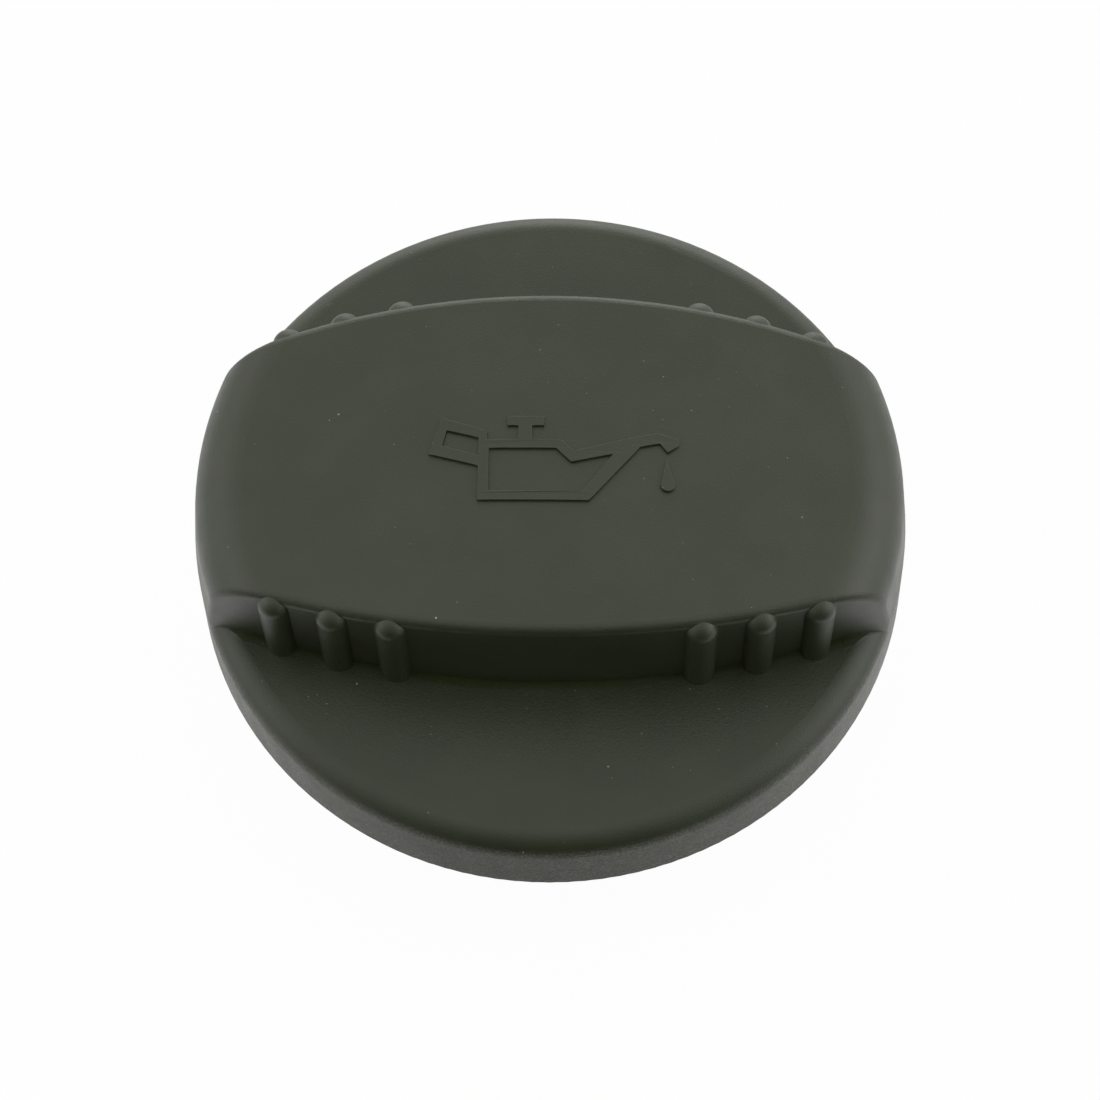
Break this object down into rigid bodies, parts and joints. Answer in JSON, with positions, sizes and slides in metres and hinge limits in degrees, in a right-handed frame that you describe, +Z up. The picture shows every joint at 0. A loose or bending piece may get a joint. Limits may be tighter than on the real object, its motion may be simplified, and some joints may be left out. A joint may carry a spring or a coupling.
{
  "type": "oil filler cap",
  "caption": "Round oil filler cap with a skirted flange, a broad ribbed grip bar across it, a bayonet neck below and a rubber sealing ring.",
  "frame": {"origin": "centre of the neck's lower end, on the cap's axis", "axes": "+Z up along the cap's axis from the neck to the grip, +X along the grip bar"},
  "size_m": [0.07, 0.07, 0.0359],
  "materials": {
    "cap_plastic": "matte dark grey moulded plastic with a fine grain",
    "seal_rubber": "smooth black rubber"
  },
  "bodies": {
    "root": {"cap_body": "cap_plastic", "seal_ring": "seal_rubber"}
  },
  "joints": []
}
